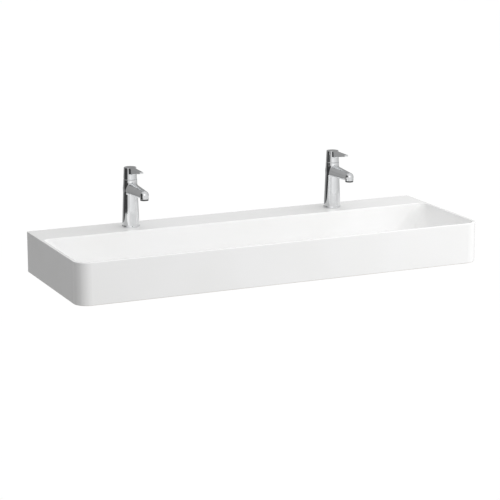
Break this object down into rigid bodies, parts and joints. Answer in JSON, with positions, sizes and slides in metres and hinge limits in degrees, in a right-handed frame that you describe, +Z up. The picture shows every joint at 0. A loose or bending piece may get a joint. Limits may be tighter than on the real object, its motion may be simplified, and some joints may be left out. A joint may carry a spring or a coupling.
{
  "type": "hand basin",
  "caption": "Wide wall-hung ceramic hand basin with one long bowl, rounded front corners, chrome lever mixers on the tap deck and a push-open waste.",
  "frame": {"origin": "on the wall face, in the middle of the line of wall-fixing holes", "axes": "+X to the right along the basin, +Y into the wall, +Z up; the front looks along -Y"},
  "size_m": [1.2, 0.42, 0.3185],
  "materials": {
    "basin_glaze": "white gloss glaze",
    "chrome": "polished chrome plate",
    "brass": "machined",
    "steel": "zinc plated",
    "rubber": "moulded",
    "grey_plastic": "moulded",
    "disc_ceramic": "lapped"
  },
  "bodies": {
    "basin_assembly": {"basin": "basin_glaze", "waste_body": "chrome", "waste_nut": "brass", "waste_latch": "brass", "waste_spring": "steel", "waste_flange_seal": "rubber", "waste_gasket": "rubber", "waste_washer": "grey_plastic", "left_tap_body": "chrome", "left_aerator_housing": "grey_plastic", "left_base_seal": "rubber", "left_clamp_pad": "rubber", "left_port_seals": "rubber", "left_aerator_seal": "rubber", "left_fixing_stud": "steel", "left_clamp_plate": "steel", "left_clamp_nut": "brass", "left_cartridge_nut": "brass", "left_cartridge_case": "grey_plastic", "left_aerator_insert": "grey_plastic", "left_fixed_disc": "disc_ceramic", "right_tap_body": "chrome", "right_aerator_housing": "grey_plastic", "right_base_seal": "rubber", "right_clamp_pad": "rubber", "right_port_seals": "rubber", "right_aerator_seal": "rubber", "right_fixing_stud": "steel", "right_clamp_plate": "steel", "right_clamp_nut": "brass", "right_cartridge_nut": "brass", "right_cartridge_case": "grey_plastic", "right_aerator_insert": "grey_plastic", "right_fixed_disc": "disc_ceramic"},
    "plug": {"waste_plug": "chrome", "waste_stem": "brass", "waste_plug_ring": "rubber"},
    "left_turret": {"left_turret": "grey_plastic", "left_pivot_pin": "steel"},
    "left_handle": {"left_handle": "chrome", "left_handle_screw": "steel", "left_handle_plug": "grey_plastic", "left_spindle": "steel"},
    "left_disc": {"left_moving_disc": "disc_ceramic", "left_disc_carrier": "grey_plastic"},
    "right_turret": {"right_turret": "grey_plastic", "right_pivot_pin": "steel"},
    "right_handle": {"right_handle": "chrome", "right_handle_screw": "steel", "right_handle_plug": "grey_plastic", "right_spindle": "steel"},
    "right_disc": {"right_moving_disc": "disc_ceramic", "right_disc_carrier": "grey_plastic"}
  },
  "joints": [
    {"name": "plug_lift", "type": "slide", "parent": "basin_assembly", "child": "plug", "axis": [0, 0, 1], "range_m": [0, 0.009], "deforming": ["waste_spring"]},
    {"name": "left_swivel", "type": "hinge", "parent": "basin_assembly", "child": "left_turret", "pos_m": [-0.315, -0.0585, 0.181], "axis": [0, 0, 1], "range_deg": [-45, 45]},
    {"name": "left_lift", "type": "hinge", "parent": "left_turret", "child": "left_handle", "pos_m": [-0.315, -0.0585, 0.181], "axis": [-1, 0, 0], "range_deg": [0, 20]},
    {"name": "left_disc_slide", "type": "slide", "parent": "left_turret", "child": "left_disc", "axis": [0, -1, 0], "range_m": [0, 0.0032]},
    {"name": "right_swivel", "type": "hinge", "parent": "basin_assembly", "child": "right_turret", "pos_m": [0.315, -0.0585, 0.181], "axis": [0, 0, 1], "range_deg": [-45, 45]},
    {"name": "right_lift", "type": "hinge", "parent": "right_turret", "child": "right_handle", "pos_m": [0.315, -0.0585, 0.181], "axis": [-1, 0, 0], "range_deg": [0, 20]},
    {"name": "right_disc_slide", "type": "slide", "parent": "right_turret", "child": "right_disc", "axis": [0, -1, 0], "range_m": [0, 0.0032]}
  ],
  "couplings": [
    {"joint": "left_disc_slide", "follows": "left_lift", "m_per_rad": 0.00895},
    {"joint": "right_disc_slide", "follows": "right_lift", "m_per_rad": 0.00895}
  ]
}
